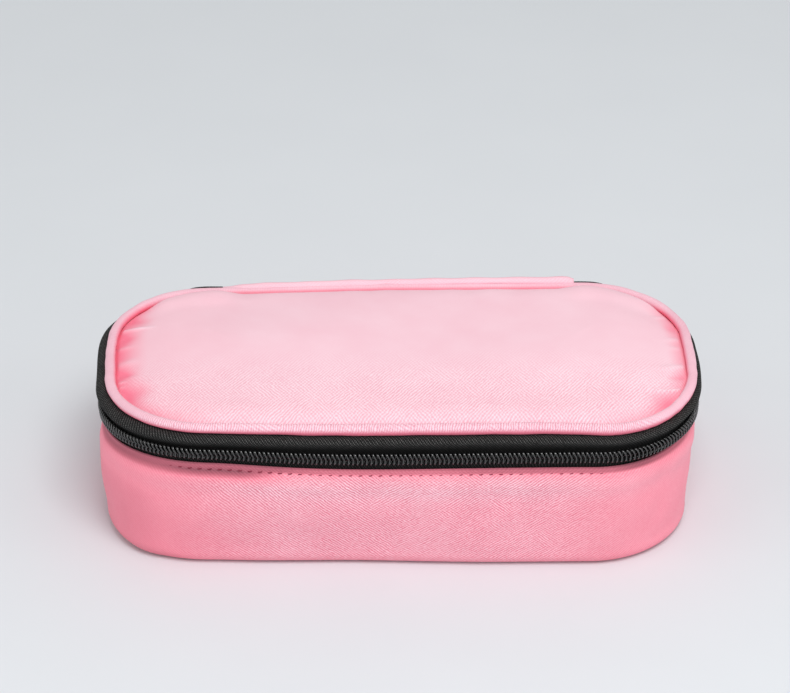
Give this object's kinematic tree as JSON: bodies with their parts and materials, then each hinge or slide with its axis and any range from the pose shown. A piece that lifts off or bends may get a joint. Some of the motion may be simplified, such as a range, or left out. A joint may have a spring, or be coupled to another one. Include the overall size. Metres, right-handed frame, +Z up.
{
  "type": "insulin cooling case",
  "caption": "Soft zipped cooling case for insulin pens: a padded tub and piped lid joined by a cloth hinge, with a coil zipper, foil lining, pen loops and a gel pack.",
  "frame": {"origin": "on the table, under the middle of the tub", "axes": "+X to the right along the length, +Y to the back where the hinge is, +Z up"},
  "size_m": [0.205, 0.1025, 0.0575],
  "materials": {
    "pink_twill": "matte",
    "pink_piping": "satin",
    "black_tape": "matte",
    "black_coil": "satin",
    "black_binding": "matte",
    "black_elastic": "matte",
    "insulation_foam": "matte",
    "foil_lining": "gloss",
    "black_net": "matte",
    "gel_pack": "gloss",
    "black_metal": "satin"
  },
  "bodies": {
    "base": {"base_shell": "pink_twill", "base_insulation": "insulation_foam", "base_lining": "foil_lining", "base_rim_binding": "black_binding", "zipper_tape_base": "black_tape", "zipper_coil_base": "black_coil", "pen_strap_left": "black_elastic", "pen_strap_right": "black_elastic", "hinge_strip": "pink_twill", "hinge_lining": "black_binding"},
    "lid": {"lid_panel": "pink_twill", "lid_piping": "pink_piping", "lid_insulation": "insulation_foam", "lid_lining": "foil_lining", "lid_rim_binding": "black_binding", "zipper_tape_lid": "black_tape", "zipper_coil_lid": "black_coil", "mesh_pocket": "black_net", "mesh_pocket_band": "black_elastic", "cool_pack": "gel_pack"},
    "slider": {"zipper_slider": "black_metal"},
    "pull": {"zipper_pull": "black_metal"}
  },
  "joints": [
    {"name": "lid_hinge", "type": "hinge", "parent": "base", "child": "lid", "pos_m": [0, 0.0503, 0.0445], "axis": [-1, 0, 0], "range_deg": [0, 180], "deforming": ["hinge_strip", "hinge_lining"]},
    {"name": "slider_travel", "type": "hinge", "parent": "base", "child": "slider", "pos_m": [0.0645, 0.012, 0.0445], "axis": [0, 0, -1], "range_deg": [0, 36], "deforming": ["zipper_coil_base", "zipper_coil_lid"]},
    {"name": "pull_swing", "type": "hinge", "parent": "slider", "child": "pull", "pos_m": [0.09153, 0.04202, 0.0445], "axis": [0, 0, -1], "range_deg": [0, 150]}
  ]
}
